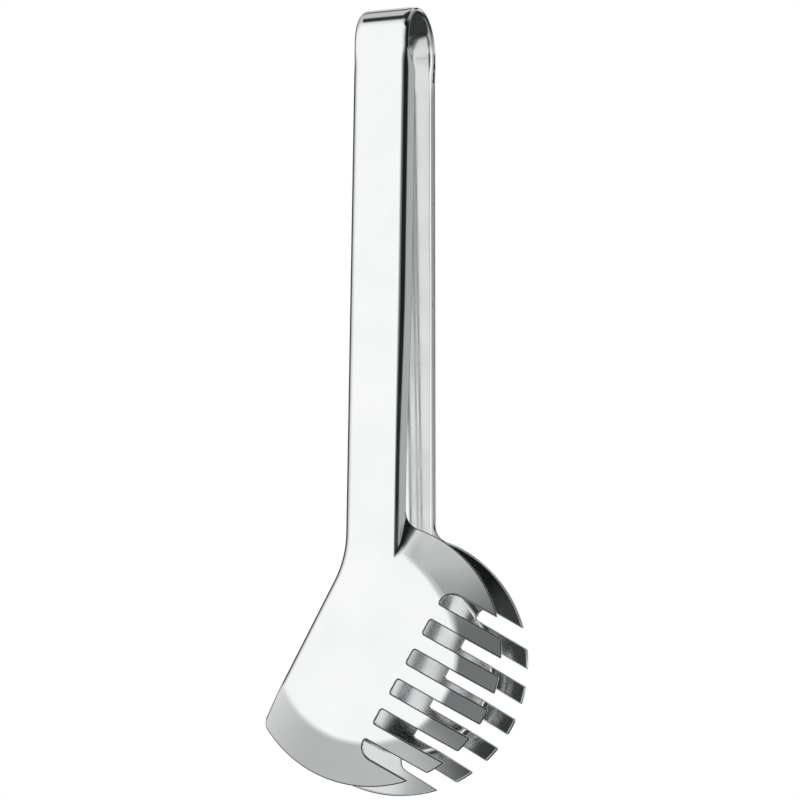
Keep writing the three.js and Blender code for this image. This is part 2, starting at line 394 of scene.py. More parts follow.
@dataclass(frozen=True)
class ClawPlan:
    """Outlines of the claw in the plane of the arm: x across, y down the arm.

    Angles go round the head from the prongs' direction, positive on its lower side. The prongs'
    side of the rim lies between lower_end and upper_end, and from upper_end to neck_end the
    dish narrows.
    """

    handle: HandleSizes
    claw: ClawSizes
    steps: ContourSteps = ContourSteps()
    lower_end: float = math.radians(92)
    upper_end: float = math.radians(-60)
    neck_end: float = math.radians(-100)

    @property
    def along_u(self) -> np.ndarray:
        """Direction out along the prongs."""
        return np.array([math.cos(self.claw.tilt), math.sin(self.claw.tilt)])

    @property
    def along_v(self) -> np.ndarray:
        """Direction across the prongs, towards the heel."""
        return np.array([-math.sin(self.claw.tilt), math.cos(self.claw.tilt)])

    @property
    def centre(self) -> np.ndarray:
        """Centre of the head."""
        return np.array([self.claw.side_offset, self.handle.length + self.claw.drop])

    @property
    def edge_down(self) -> np.ndarray:
        """Direction of the straight folded edge behind the head.

        Returns:
            A unit direction down the edge.
        """
        c, s = math.cos(-self.claw.back_edge_lean), math.sin(-self.claw.back_edge_lean)
        v = self.along_v
        return np.array([v[0] * c - v[1] * s, v[0] * s + v[1] * c])

    @property
    def edge_out(self) -> np.ndarray:
        """Direction square to the folded edge, out of the head."""
        d = self.edge_down
        return np.array([-d[1], d[0]])

    def point(self, u: float, v: float) -> np.ndarray:
        """A point given in the head's tilted axes."""
        return self.centre + self.along_u * u + self.along_v * v

    def ellipse(self, inset: np.ndarray | float, t: np.ndarray | float) -> np.ndarray:
        """Points of the rim's ellipse, drawn in on all sides.

        Args:
            inset: How far the ellipse is drawn in.
            t: Angles round the head.

        Returns:
            One point for each angle.
        """
        a, b = self.claw.length - inset, self.claw.half_width - inset
        u, v = a * np.cos(t) - self.claw.setback, b * np.sin(t)
        return self.centre + np.multiply.outer(u, self.along_u) + np.multiply.outer(v, self.along_v)

    def ellipse_normal(self, inset: float, t: float) -> np.ndarray:
        """Direction out of the drawn-in ellipse.

        Args:
            inset: How far the ellipse is drawn in.
            t: Angle round the head.

        Returns:
            A unit direction.
        """
        a, b = self.claw.length - inset, self.claw.half_width - inset
        n = self.along_u * b * math.cos(t) + self.along_v * a * math.sin(t)
        return n / np.linalg.norm(n)

    def ring_inset(self, level: Level, t: np.ndarray | float) -> np.ndarray | float:
        """How far a level's contour lies inside the rim.

        Args:
            level: The level.
            t: Angles round the head.

        Returns:
            A distance for each angle.
        """
        c = self.claw
        near_neck = smooth_step(-t, -self.upper_end, -self.neck_end)
        return (1 - level.dish) * (c.dish_width + (c.dish_width_at_neck - c.dish_width) * near_neck)

    def edge(self, distance: float, inset: float) -> np.ndarray:
        """A point of the folded edge, moved into the head by inset."""
        base = self.point(-self.claw.back_edge_offset, 0.0)
        return base + self.edge_down * distance - self.edge_out * inset

    def back_neck(self, inset: float) -> np.ndarray:
        """The hollow curve from the handle into the folded edge.

        Args:
            inset: How far the curve is moved into the sheet.

        Returns:
            Its points from the handle down.
        """
        r = self.claw.back_neck_radius
        cx = -self.handle.rim_x - r
        base, out = self.edge(0.0, 0.0), self.edge_out
        centre = np.array([cx, base[1] + (r - (cx - base[0]) * out[0]) / out[1]])
        radius = r + inset
        return arc(centre, centre + [radius, 0.0], centre - out * radius, self.steps.neck)

    def heel(self, level: Level, inset: float) -> np.ndarray:
        """From the folded edge round the heel to the lower end of the rim.

        Args:
            level: The level.
            inset: How far the folded edge is moved into the head.

        Returns:
            The points in order.
        """
        c, n = self.claw, self.steps
        ring = self.ring_inset(level, 0.0)
        radius = c.flat_heel_radius + (c.heel_radius - c.flat_heel_radius) * level.rise
        base = self.edge(0.0, inset)

        def centre_at(t: float) -> np.ndarray:
            """Centre of a circle that touches the ellipse from inside at an angle."""
            return self.ellipse(ring, t) - self.ellipse_normal(ring, t) * radius

        t = bisect(lambda s: float((centre_at(s) - base) @ self.edge_out) + radius, math.pi / 2, math.pi)
        centre = centre_at(t)
        on_edge = centre + self.edge_out * radius
        return np.vstack([
            straight(self.edge(c.back_edge_square, inset), on_edge, n.heel_line),
            arc(centre, on_edge, self.ellipse(ring, t), n.heel)[1:],
            self.ellipse(ring, np.linspace(t, self.lower_end, n.lower + 1))[1:],
        ])

    def shoulder(self, level: Level, line_x: float) -> np.ndarray:
        """From the upper end of the rim round the hollow neck and up the handle.

        Args:
            level: The level.
            line_x: Where the contour runs up the handle.

        Returns:
            The points in order.
        """
        c, n = self.claw, self.steps
        radius = c.flat_neck_radius + (c.front_neck_radius - c.flat_neck_radius) * level.rise

        def centre_at(t: float) -> np.ndarray:
            """Centre of a circle that touches the level's contour from outside at an angle."""
            inset = self.ring_inset(level, t)
            return self.ellipse(inset, t) + self.ellipse_normal(inset, t) * radius

        t = bisect(lambda s: float(centre_at(s)[0]) - line_x - radius, -math.pi, -math.pi / 2)
        centre = centre_at(t)
        on_line = np.array([line_x, centre[1]])
        way = np.linspace(self.upper_end, t, n.upper + 1)
        return np.vstack([
            self.ellipse(self.ring_inset(level, way), way),
            arc(centre, self.ellipse(self.ring_inset(level, t), t), on_line, n.shoulder)[1:],
            straight(on_line, (line_x, self.handle.length), n.neck_line)[1:],
        ])

    def contour(self, level: Level) -> np.ndarray:
        """The contour of the head at one level.

        Args:
            level: The level.

        Returns:
            Its points from the left to the right end at the handle.
        """
        h, c, n = self.handle, self.claw, self.steps
        inset = h.flange_reach * (1 - level.flange)
        neck = self.back_neck(inset)
        way = np.linspace(self.lower_end, self.upper_end, n.rim + 1)[1:-1]
        return np.vstack([
            straight((inset - h.rim_x, h.length), neck[0], n.handle),
            neck[1:],
            straight(neck[-1], self.edge(c.back_edge_square, inset), n.edge)[1:-1],
            self.heel(level, inset),
            self.ellipse(self.ring_inset(level, way), way),
            self.shoulder(level, h.flat_x + h.neck_reach * level.flange),
        ])

    def slot_bounds(self, index: int) -> tuple[float, float]:
        """The two sides of a slot, as v."""
        middle = (index - (self.claw.slot_count - 1) / 2) * self.claw.slot_pitch
        return middle - self.claw.slot_width / 2, middle + self.claw.slot_width / 2

    def slot_path(self, index: int, spacing: float) -> np.ndarray:
        """A slot's outline from its high side on the rim round the closed end to its low side.

        Args:
            index: Number of the slot.
            spacing: Step along its sides.

        Returns:
            The points in order.
        """
        c, n = self.claw, self.steps
        low, high = self.slot_bounds(index)
        r_low = c.outer_slot_corner if index == 0 else c.slot_corner
        r_high = c.outer_slot_corner if index == c.slot_count - 1 else c.slot_corner

        def rim_u(v: float) -> float:
            """Where the rim is at v."""
            return c.length * math.sqrt(1 - (v / c.half_width) ** 2) - c.setback

        def steps_of(reach: float) -> int:
            """How many steps a side of the slot has."""
            return max(n.slot_side_least, round(reach / spacing))

        def corner(radius: float, v: float, start: np.ndarray, end: np.ndarray) -> np.ndarray:
            """A rounded corner of the closed end, about a centre at v."""
            return arc(np.array([c.slot_start + radius, v]), start, end, n.slot_corner)

        high_in, low_in = (c.slot_start + r_high, high), (c.slot_start + r_low, low)
        high_end, low_end = (c.slot_start, high - r_high), (c.slot_start, low + r_low)
        uv = np.vstack([
            straight((rim_u(high), high), high_in, steps_of(rim_u(high) - high_in[0])),
            corner(r_high, high - r_high, np.array(high_in), np.array(high_end))[1:],
            corner(r_low, low + r_low, np.array(low_end), np.array(low_in)),
            straight(low_in, (rim_u(low), low), steps_of(rim_u(low) - low_in[0]))[1:],
        ])
        return self.centre + np.outer(uv[:, 0], self.along_u) + np.outer(uv[:, 1], self.along_v)

    def in_slot(self, points: np.ndarray, margin: float) -> np.ndarray:
        """Which points lie in a slot or near one.

        Args:
            points: Points of the plan.
            margin: How near counts.

        Returns:
            A flag for each point.
        """
        d = points - self.centre
        u, v = d @ self.along_u, d @ self.along_v
        inside = np.zeros(len(points), bool)
        for i in range(self.claw.slot_count):
            low, high = self.slot_bounds(i)
            inside |= (u > self.claw.slot_start - margin) & (v > low - margin) & (v < high + margin)
        return inside


def sheet_grid(
    bow: BowSizes, handle: HandleSizes, claw: ClawSizes, spacing: float
) -> tuple[np.ndarray, np.ndarray]:
    """The outer face of one half of the sheet between its flat face and its rim.

    The grid's rows run from the top of the bow on the left down the left flange, round the
    claw and up the right flange to the top of the bow again; its columns are the levels. A
    negative distance is on the bow's arc, where only the edges are rolled over a little.

    Args:
        bow: Sizes of the strip.
        handle: Sizes of the channel.
        claw: Sizes of the head.
        spacing: Step along the handle.

    Returns:
        Points and unit normals, each of shape (rows, levels, 3), as x, distance and depth.
    """
    levels = levels_of(handle, claw)
    plan = ClawPlan(handle, claw)
    head = np.stack([plan.contour(level) for level in levels], axis=1)
    rise = np.array([level.rise for level in levels])
    flange = np.array([level.flange for level in levels])
    head_depth = np.broadcast_to(rise * handle.depth, head.shape[:2])
    head = np.concatenate([head, head_depth[..., None]], axis=2)

    count = round((handle.length + bow.arc_length) / spacing)
    distance = np.linspace(-bow.arc_length, handle.length, count + 1)[:-1]
    share = smooth_step(distance, handle.flange_start, handle.flange_full)
    taper = smooth_step(distance, handle.length - handle.neck_taper, handle.length)
    half = bow.strip_width / 2
    arms = []
    for sign, neck in ((-1, handle.flange_reach), (1, handle.neck_reach)):
        full = handle.flat_x + handle.flange_reach + (neck - handle.flange_reach) * taper
        rim = half + (full - half) * share
        flat = half - bow.roll_width + (handle.flat_x - half + bow.roll_width) * share
        depth = bow.roll_depth + (handle.depth - bow.roll_depth) * share
        arm = np.empty((count, len(levels), 3))
        arm[..., 0] = sign * (flat[:, None] + (rim - flat)[:, None] * flange)
        arm[..., 1] = distance[:, None]
        arm[..., 2] = depth[:, None] * rise
        arms.append(arm)
    points = np.concatenate([arms[0], head, arms[1][::-1]], axis=0)
    normals = np.cross(slopes(points, 0), slopes(points, 1))
    normals /= np.maximum(np.linalg.norm(normals, axis=2, keepdims=True), SHORTEST_NORMAL)
    normals *= np.where(normals[..., 2:] > 0, -1.0, 1.0)
    normals[:, 0] = FLAT_NORMAL
    return points, normals


# The skin of one half

@dataclass
class SheetSkin:
    """The outer face of one half of the sheet, cut out along its rim and its slots.

    Everything here is in millimetres as x, distance down the arm, and depth into the tongs. A
    row of six is a point and the unit normal of the outer face there.
    """

    bow: BowSizes = field(default_factory=BowSizes)
    handle: HandleSizes = field(default_factory=HandleSizes)
    claw: ClawSizes = field(default_factory=ClawSizes)
    spacing: float = 0.8
    slot_spacing: float = 0.9
    least_spacing: float = 0.25
    edge_radius: float = 0.3
    roll_over: float = 0.45
    roll_margin: float = 0.1
    tip_softening: float = 0.7
    tip_shares: tuple[float, ...] = (0.2, 0.4, 0.6, 0.8)
    flat_strips: int = 9
    flat_end: float = 13.0
    ray_start: float = -30.0
    rim_reach: float = 1.0
    rim_tries: int = 80
    rim_width: float = 0.3
    weld: float = 1e-5
    plan: ClawPlan = field(init=False)
    grid: np.ndarray = field(init=False)
    grid_normals: np.ndarray = field(init=False)
    rim: np.ndarray = field(init=False)
    rim_run: np.ndarray = field(init=False)
    quads: np.ndarray = field(init=False)
    tree: BVHTree = field(init=False)
    points: np.ndarray = field(init=False)
    normals: np.ndarray = field(init=False)
    faces: np.ndarray = field(init=False)
    cut: np.ndarray = field(init=False)
    cut_out: np.ndarray = field(init=False)
    seam: np.ndarray = field(init=False)

    def __post_init__(self) -> None:
        """Works out the shaped surface, then the faces inside its cut edge."""
        self.plan = ClawPlan(self.handle, self.claw)
        self.grid, self.grid_normals = sheet_grid(self.bow, self.handle, self.claw, self.spacing)
        self.rim = np.concatenate([self.grid[:, -1], self.grid_normals[:, -1]], axis=1)
        self.rim_run = lengths(self.rim[:, :3])
        rows, columns = self.grid.shape[:2]
        index = np.arange(rows * columns).reshape(rows, columns)
        quads = np.stack([index[:-1, :-1], index[1:, :-1], index[1:, 1:], index[:-1, 1:]], axis=-1)
        self.quads = quads.reshape(-1, 4)
        self.tree = BVHTree.FromPolygons(
            self.grid.reshape(-1, 3).tolist(), self.quads.tolist(), all_triangles=False
        )
        self._triangulate()

    def _on_rim(self, run: float) -> np.ndarray:
        """Point and normal on the rim at a running length."""
        return resample_at(self.rim, self.rim_run, run)

    def _off_surface(self, spot: np.ndarray) -> np.ndarray:
        """Point and normal over a spot that the shaped surface doesn't cover.

        Args:
            spot: A point of the plan.

        Returns:
            The nearest place on the rim if the spot is close to it, or else the flat face.
        """
        gap = np.linalg.norm(self.rim[:, :2] - spot, axis=1)
        near = self.rim_run[int(np.argmin(gap))]
        best = min(
            (near + f for f in np.linspace(-self.rim_reach, self.rim_reach, self.rim_tries + 1)),
            key=lambda s: float(np.linalg.norm(self._on_rim(s)[:2] - spot)),
        )
        if np.linalg.norm(self._on_rim(best)[:2] - spot) < self.rim_width:
            return self._on_rim(best)
        return np.array([*spot, 0.0, *FLAT_NORMAL])

    def _height(self, spot: np.ndarray) -> np.ndarray:
        """Point and normal of the outer face over a spot of the plan.

        Args:
            spot: A point of the plan.

        Returns:
            A row of six.
        """
        start = Vector((spot[0], spot[1], self.ray_start))
        hit, _, face, _ = self.tree.ray_cast(start, Vector((0, 0, 1)))
        if hit is None:
            return self._off_surface(spot)
        corners = self.grid.reshape(-1, 3)[self.quads[face]]
        a, b = corners[1, :2] - corners[0, :2], corners[3, :2] - corners[0, :2]
        shares = np.linalg.lstsq(np.column_stack([a, b]), spot - corners[0, :2], rcond=None)[0]
        f, g = np.clip(shares, 0, 1)
        weights = np.array([(1 - f) * (1 - g), f * (1 - g), f * g, (1 - f) * g])
        normal = weights @ self.grid_normals.reshape(-1, 3)[self.quads[face]]
        return np.r_[spot, hit.z, normal / np.linalg.norm(normal)]

    def _corner(self, before: np.ndarray, corner: np.ndarray, after: np.ndarray) -> list[np.ndarray]:
        """A softened corner of the cut outline.

        Args:
            before: The point where the softening begins.
            corner: The sharp corner.
            after: The point where it ends.

        Returns:
            The rows of six between the two points.
        """
        rows = []
        for t in self.tip_shares:
            spot = before * (1 - t) ** 2 + 2 * corner * t * (1 - t) + after * t * t
            rows.append(self._height(spot))
        return rows

    def _outline(self) -> np.ndarray:
        """The cut edge from the top of the bow on the left to the top on the right.

        Returns:
            Rows of six.
        """
        rim = self.rim[:, :2] - self.plan.centre
        u, v = rim @ self.plan.along_u, rim @ self.plan.along_v
        near, least = self.tip_softening, self.least_spacing

        def crossing(value: float) -> float:
            """Running length at which the rim of the prongs' side comes to a value of v.

            Args:
                value: The value.

            Returns:
                The running length.
            """
            for i in np.flatnonzero((v[:-1] >= value) & (v[1:] < value) & (u[:-1] > self.claw.slot_start)):
                share = (v[i] - value) / (v[i] - v[i + 1])
                return float(self.rim_run[i] * (1 - share) + self.rim_run[i + 1] * share)
            raise ValueError("a slot misses the rim")

        def stretch(first: float, last: float) -> list[np.ndarray]:
            """The rim's own rows between two running lengths."""
            return list(self.rim[(self.rim_run >= first) & (self.rim_run <= last)])

        rows: list[np.ndarray] = []
        at = 0.0
        for index in reversed(range(self.claw.slot_count)):
            low, high = self.plan.slot_bounds(index)
            enter, leave = crossing(high), crossing(low)
            path = self.plan.slot_path(index, self.slot_spacing)
            path[0], path[-1] = self._on_rim(enter)[:2], self._on_rim(leave)[:2]
            s = lengths(path)
            first, last = resample(path, np.array([near, s[-1] - near]))
            middle = path[(s > near + least) & (s < s[-1] - near - least)]
            rows += stretch(at, enter - near - least)
            rows.append(self._on_rim(enter - near))
            rows += self._corner(self._on_rim(enter - near)[:2], path[0], first)
            rows += [self._height(spot) for spot in (first, *middle, last)]
            rows += self._corner(last, path[-1], self._on_rim(leave + near)[:2])
            rows.append(self._on_rim(leave + near))
            at = leave + near + least
        rows += stretch(at, float(self.rim_run[-1]))
        return np.array(rows)

    @staticmethod
    def _outward(run: np.ndarray, slope: np.ndarray) -> np.ndarray:
        """Directions out of the sheet at its cut edge, along the face and square to the edge.

        Args:
            run: Points of the cut edge in order.
            slope: Unit normals of the face there.

        Returns:
            Unit directions.
        """
        tangent = np.empty_like(run)
        tangent[1:-1] = run[2:] - run[:-2]
        tangent[0], tangent[-1] = run[1] - run[0], run[-1] - run[-2]
        outward = np.cross(tangent, slope)
        outward /= np.linalg.norm(outward, axis=1, keepdims=True)
        return -outward if outward[0, 0] > 0 else outward

    def _clear_of_cut(self, inner: np.ndarray) -> np.ndarray:
        """Which points of the shaped surface lie clear of the rim and the slots.

        Args:
            inner: The grid's points without its rim, as rows of three.

        Returns:
            A flag for each point.
        """
        margin = self.roll_over + self.roll_margin
        gaps = np.linalg.norm(np.diff(self.grid, axis=1), axis=2)
        to_rim = np.cumsum(gaps[:, ::-1], axis=1)[:, ::-1].ravel()
        return ~self.plan.in_slot(inner[:, :2], margin) & (to_rim > margin)

    def _bow_points(self) -> tuple[np.ndarray, int]:
        """Points of the bow's flat middle, which bends and so can't stay one large face.

        Returns:
            The points row by row from the top down, and how many a row has.
        """
        half = abs(self.grid[0, 0, 0])
        columns = np.linspace(-half, half, self.flat_strips + 1)[1:-1]
        down = self.grid[: len(self.grid) // 2, 0, 1]
        points = [[x, distance, 0.0] for distance in down[down < self.flat_end] for x in columns]
        return np.array(points), len(columns)

    def _seam_line(self, edge: int, free: np.ndarray, columns: int, number: np.ndarray) -> list[int]:
        """The points along the top of the bow, where this half meets the other one.

        Args:
            edge: How many points the cut edge has.
            free: Which of the grid's points stay.
            columns: How many points a row of the bow's middle has.
            number: Each point's number among those that stay.

        Returns:
            Their numbers from left to right.
        """
        steps = self.grid.shape[1] - 1
        kept = np.flatnonzero(free[:steps])
        grid_end = edge + len(free)
        line = np.r_[edge + kept[::-1], grid_end + np.arange(columns), grid_end - steps + kept]
        return [0, *number[line].tolist(), edge - 1]

    def _cell_sides(
        self, edge: int, keep: np.ndarray, number: np.ndarray, inside: np.ndarray
    ) -> list[tuple[int, int]]:
        """The sides of the grid's cells, which the faces follow so that the shading is even.

        Args:
            edge: How many points the cut edge has.
            keep: Which points stay.
            number: Each point's number among those that stay.
            inside: Which of those that stay lie inside the outline.

        Returns:
            Pairs of point numbers.
        """
        rows, steps = len(self.grid), self.grid.shape[1] - 1
        cells = edge + np.arange(rows * steps).reshape(rows, steps)[:, :-1]
        sides: list[tuple[int, int]] = []
        for first, second in ((cells[:-1], cells[1:]), (cells[:, :-1], cells[:, 1:])):
            both = keep[first] & keep[second]
            ends = np.stack([number[first[both]], number[second[both]]], axis=1)
            sides += [tuple(pair) for pair in ends[inside[ends].all(axis=1)].tolist()]
        return sides

    def _fill(
        self, points: np.ndarray, normals: np.ndarray, sides: list[tuple[int, int]], loop: np.ndarray
    ) -> np.ndarray:
        """Fills a loop of the plan with triangles and keeps them as the skin's own.

        Args:
            points: The points to use.
            normals: The outer face's unit normals there.
            sides: Pairs of points that a side of a triangle has to join.
            loop: The outline in the plan.

        Returns:
            The number of each given point in the skin.
        """
        flat = [Vector(p) for p in points[:, :2].tolist()]
        found, _, faces, sources, _, _ = delaunay_2d_cdt(flat, sides, [], 1, self.weld, True)
        spots, triangles = np.array([v[:] for v in found]), np.array(faces)
        triangles = triangles[enclosed(spots[triangles].mean(axis=1), loop)]
        rows = np.empty((len(found), 6))
        place = np.full(len(points), -1)
        for i, (spot, origin) in enumerate(zip(found, sources)):
            for j in origin:
                place[j] = i
            if origin:
                rows[i] = np.r_[points[origin[0]], normals[origin[0]]]
            else:
                rows[i] = self._height(np.array(spot))
        used = np.zeros(len(found), bool)
        used[triangles.ravel()] = True
        compact = np.cumsum(used) - 1
        self.points, self.normals = rows[used, :3], rows[used, 3:]
        self.normals /= np.linalg.norm(self.normals, axis=1, keepdims=True)
        self.faces = compact[triangles]
        return compact[place]

    def _triangulate(self) -> None:
        """Fills the outline, keeping every point of the shaped surface that is inside it."""
        edge = self._outline()
        run, slope = edge[:, :3], edge[:, 3:]
        slope = slope / np.linalg.norm(slope, axis=1, keepdims=True)
        self.cut_out = self._outward(run, slope)
        inner = self.grid[:, :-1].reshape(-1, 3)
        free = self._clear_of_cut(inner)
        bow, columns = self._bow_points()
        points = np.vstack([run - self.cut_out * self.roll_over, inner, bow])
        bow_normals = np.tile(FLAT_NORMAL, (len(bow), 1))
        normals = np.vstack([slope, self.grid_normals[:, :-1].reshape(-1, 3), bow_normals])
        keep = np.r_[np.ones(len(edge), bool), free, np.ones(len(bow), bool)]
        number = np.cumsum(keep) - 1
        seam = self._seam_line(len(edge), free, columns, number)
        points, normals = points[keep], normals[keep]
        loop = np.vstack([points[: len(edge), :2], points[seam[-2:0:-1], :2]])
        sides = [(i, i + 1) for i in range(len(edge) - 1)] + list(zip(seam[:-1], seam[1:]))
        sides += self._cell_sides(len(edge), keep, number, enclosed(points[:, :2], loop))
        places = self._fill(points, normals, sides, loop)
        self.cut, self.seam = places[: len(edge)], places[seam]
        counts = len(self.points), len(self.faces), len(self.cut)
        log.info("skin: %d points, %d faces, %d points on the cut edge", *counts)

    def fold(self, side: Side, points: np.ndarray, directions: np.ndarray) -> tuple[np.ndarray, np.ndarray]:
        """Carries the sheet onto one arm, over the bow's arc.

        Args:
            side: The arm.
            points: Points as x, distance and depth.
            directions: Directions in the same axes.

        Returns:
            The points in millimetres and the directions, both in the row's frame.
        """
        r, s = self.bow.outer_radius, side.value
        angle = self.bow.spread + np.maximum(0.0, -points[:, 1]) / r
        c, n, zero = np.cos(angle), np.sin(angle), np.zeros(len(points))
        down = np.c_[zero, s * n, -c]
        inward = np.c_[zero, -s * c, -n]
        across = np.tile([1.0, 0.0, 0.0], (len(points), 1))
        base = np.c_[points[:, 0], s * r * c, r * n + self.bow.centre_z]
        placed = base + down * np.maximum(0.0, points[:, 1:2]) + inward * points[:, 2:3]
        turned = across * directions[:, :1] + down * directions[:, 1:2] + inward * directions[:, 2:3]
        return placed, turned


class Zone(Enum):
    """The zones of the sheet, numbered as their finishes are on the piece."""

    FACE = 0
    CUT = 1
    # The rounding's finish is painted dark: a painted dark reflection along every cut edge.
    ROUNDING = 2


@dataclass
class SteelHalf:
    """One half of the folded sheet: half the spring bow, a channel handle and its claw.

    The finishes are in the order of the zones. The cut edge has nine strips from the outer to
    the inner face, of which the first two are the rolled-over rounding, whose near-black finish is
    a painted dark reflection.
    """

    skin: SheetSkin
    side: Side
    finishes: tuple[bpy.types.Material, bpy.types.Material, bpy.types.Material]
    rounding_turns: tuple[float, ...] = (22.5, 45.0, 67.5, 90.0)
    # The two rounding strips carry the near-black finish, a painted dark reflection.
    strip_zones: tuple[Zone, ...] = (Zone.ROUNDING,) * 2 + (Zone.CUT,) * 7

    @property
    def name(self) -> str:
        """The piece's name in the scene."""
        return "front_sheet" if self.side is Side.FRONT else "back_sheet"

    def _solid(self) -> tuple[np.ndarray, np.ndarray, list[list[int]], list[int]]:
        """Closes the half with an inner face and a rounded cut edge, still unfolded.

        Returns:
            Points, normals, faces and the number of each face's zone. The last face is the one
            on the seam at the top of the bow.
        """
        skin, thick, rho = self.skin, self.skin.bow.thickness, self.skin.edge_radius
        count, cut, reach = len(skin.points), skin.cut, skin.roll_over
        n, b = skin.normals[cut], skin.cut_out
        points = [skin.points, skin.points - skin.normals * thick]
        normals = [skin.normals, -skin.normals]
        outer = skin.points[cut] - n * rho
        inner = skin.points[cut] + b * (reach - rho) - n * (thick - rho)
        turns = self.rounding_turns
        rings = [cut]
        size = 2 * count
        for centre, width, sign, way in ((outer, reach, 1, turns), (inner, rho, -1, turns[::-1])):
            for turn in way:
                c, s = sign * math.cos(math.radians(turn)), math.sin(math.radians(turn))
                points.append(centre + n * c * rho + b * s * width)
                direction = n * c / rho + b * s / width
                normals.append(direction / np.linalg.norm(direction, axis=1, keepdims=True))
                rings.append(np.arange(size, size + len(cut)))
                size += len(cut)
        rings.append(cut + count)
        faces = skin.faces.tolist() + (skin.faces[:, ::-1] + count).tolist()
        zones = [Zone.FACE.value] * len(faces)
        for first, second, zone in zip(rings[:-1], rings[1:], self.strip_zones):
            strip = np.stack([first[:-1], first[1:], second[1:], second[:-1]], axis=1)
            faces += strip.tolist()
            zones += [zone.value] * len(strip)
        right = [int(ring[-1]) for ring in rings[1:-1]]
        left = [int(ring[0]) for ring in rings[1:-1]]
        faces.append(skin.seam.tolist() + right + (skin.seam[::-1] + count).tolist() + left[::-1])
        zones.append(Zone.CUT.value)
        return np.vstack(points), np.vstack(normals), faces, zones

    def _face_outward(
        self, points: np.ndarray, normals: np.ndarray, faces: list[list[int]]
    ) -> tuple[list[list[int]], np.ndarray]:
        """Turns every face over that looks into the steel.

        Args:
            points: The folded points.
            normals: The folded normals.
            faces: The faces, with the one on the seam last.

        Returns:
            The faces, and the normals at their corners.
        """

        def facing(face: list[int], wanted: np.ndarray) -> list[int]:
            """A face, turned over if it looks away from the wanted direction.

            Args:
                face: The face.
                wanted: The direction.

            Returns:
                The face's points in the right order.
            """
            corners = points[face]
            true = np.cross(corners, np.roll(corners, -1, axis=0)).sum(axis=0)
            return face if true @ wanted > 0 else face[::-1]

        seam_normal = np.array([0.0, -float(self.side.value), 0.0])
        turned = [facing(face, normals[face].sum(axis=0)) for face in faces[:-1]]
        corner_normals = [normals[face] for face in turned]
        turned.append(facing(faces[-1], seam_normal))
        corner_normals.append(np.tile(seam_normal, (len(faces[-1]), 1)))
        return turned, np.vstack(corner_normals)

    def build(self) -> bpy.types.Object:
        """Makes the piece and sets it on its arm.

        Returns:
            The piece.
        """
        flat, directions, faces, zones = self._solid()
        points, normals = self.skin.fold(self.side, flat, directions)
        faces, corner_normals = self._face_outward(points, normals, faces)
        mesh = bpy.data.meshes.new(self.name)
        mesh.from_pydata((points * MM).tolist(), [], faces)
        mesh.polygons.foreach_set("material_index", zones)
        place = mesh.attributes.new("sheet_place", "FLOAT_VECTOR", "POINT")
        place.data.foreach_set("vector", (flat * MM).astype(np.float32).ravel())
        for material in self.finishes:
            mesh.materials.append(material)
        mesh.shade_smooth()
        mesh.normals_split_custom_set(corner_normals.tolist())
        piece = bpy.data.objects.new(self.name, mesh)
        bpy.context.scene.collection.objects.link(piece)
        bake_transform(piece)
        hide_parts(*self.side.nodes)
        log.info("%s: %d points, %d faces", self.name, len(mesh.vertices), len(mesh.polygons))
        return piece


# Finishes

Socket = bpy.types.NodeSocket
Value = float | Sequence[float] | Socket


class Graph:
    """A node tree written as nested calls."""

    def __init__(self, tree: bpy.types.NodeTree) -> None:
        """Takes over a tree and empties it."""
        self.tree = tree
        tree.nodes.clear()

    def add(
        self, kind: str, inputs: dict[str | int, Value] | None = None, **settings: object
    ) -> bpy.types.Node:
        """Adds a node.

        Args:
            kind: The node's type name.
            inputs: What goes into its sockets, by name or number.
            settings: The node's own settings.

        Returns:
            The node.
        """
        node = self.tree.nodes.new(kind)
        for key, value in settings.items():
            setattr(node, key, value)
        for key, value in (inputs or {}).items():
            self.feed(node.inputs[key], value)
        return node

    def feed(self, socket: Socket, value: Value) -> None:
        """Links or sets one socket.

        Args:
            socket: The socket.
            value: Another node's output to link to it, or a plain value.
        """
        if isinstance(value, bpy.types.NodeSocket):
            self.tree.links.new(value, socket)
        else:
            socket.default_value = value

    def math(self, operation: str, *values: Value) -> Socket:
        """The result of a maths node."""
        return self.add("ShaderNodeMath", dict(enumerate(values)), operation=operation).outputs[0]

    def ramp(self, value: Value, low: float, high: float, start: float = 0.0, end: float = 1.0) -> Socket:
        """A smooth step of a value from start at low to end at high."""
        inputs = {"Value": value, "From Min": low, "From Max": high, "To Min": start, "To Max": end}
        return self.add("ShaderNodeMapRange", inputs, interpolation_type="SMOOTHSTEP").outputs[0]

    def mix(self, factor: Value, first: Value, second: Value) -> Socket:
        """A blend of two numbers."""
        return self.add("ShaderNodeMix", {0: factor, 2: first, 3: second}, data_type="FLOAT").outputs[0]

    def tint(self, factor: Value, first: Sequence[float], second: Sequence[float]) -> Socket:
        """A blend of two colours."""
        inputs = {0: factor, 6: (*first, 1.0), 7: (*second, 1.0)}
        return self.add("ShaderNodeMix", inputs, data_type="RGBA").outputs[2]

    def stretched(self, place: Value, scale: Sequence[float]) -> Socket:
        """A place scaled differently along each axis."""
        return self.add("ShaderNodeMapping", {"Vector": place, "Scale": scale}).outputs[0]

    def noise(self, place: Value, scale: float, detail: float, roughness: float) -> Socket:
        """Fractal noise between 0 and 1."""
        inputs = {"Vector": place, "Scale": scale, "Detail": detail, "Roughness": roughness}
        return self.add("ShaderNodeTexNoise", inputs).outputs[0]

    def bump(self, height: float, share: Value, below: Socket | None = None) -> Socket:
        """A normal bumped by shares of a height, on top of another one where that is given.

        Args:
            height: The height of a share of 1, in metres.
            share: How high each place is.
            below: The normal to start from.

        Returns:
            The bumped normal.
        """
        inputs = {"Strength": 1.0, "Distance": height, "Height": share}
        if below is not None:
            inputs["Normal"] = below
        return self.add("ShaderNodeBump", inputs).outputs[0]


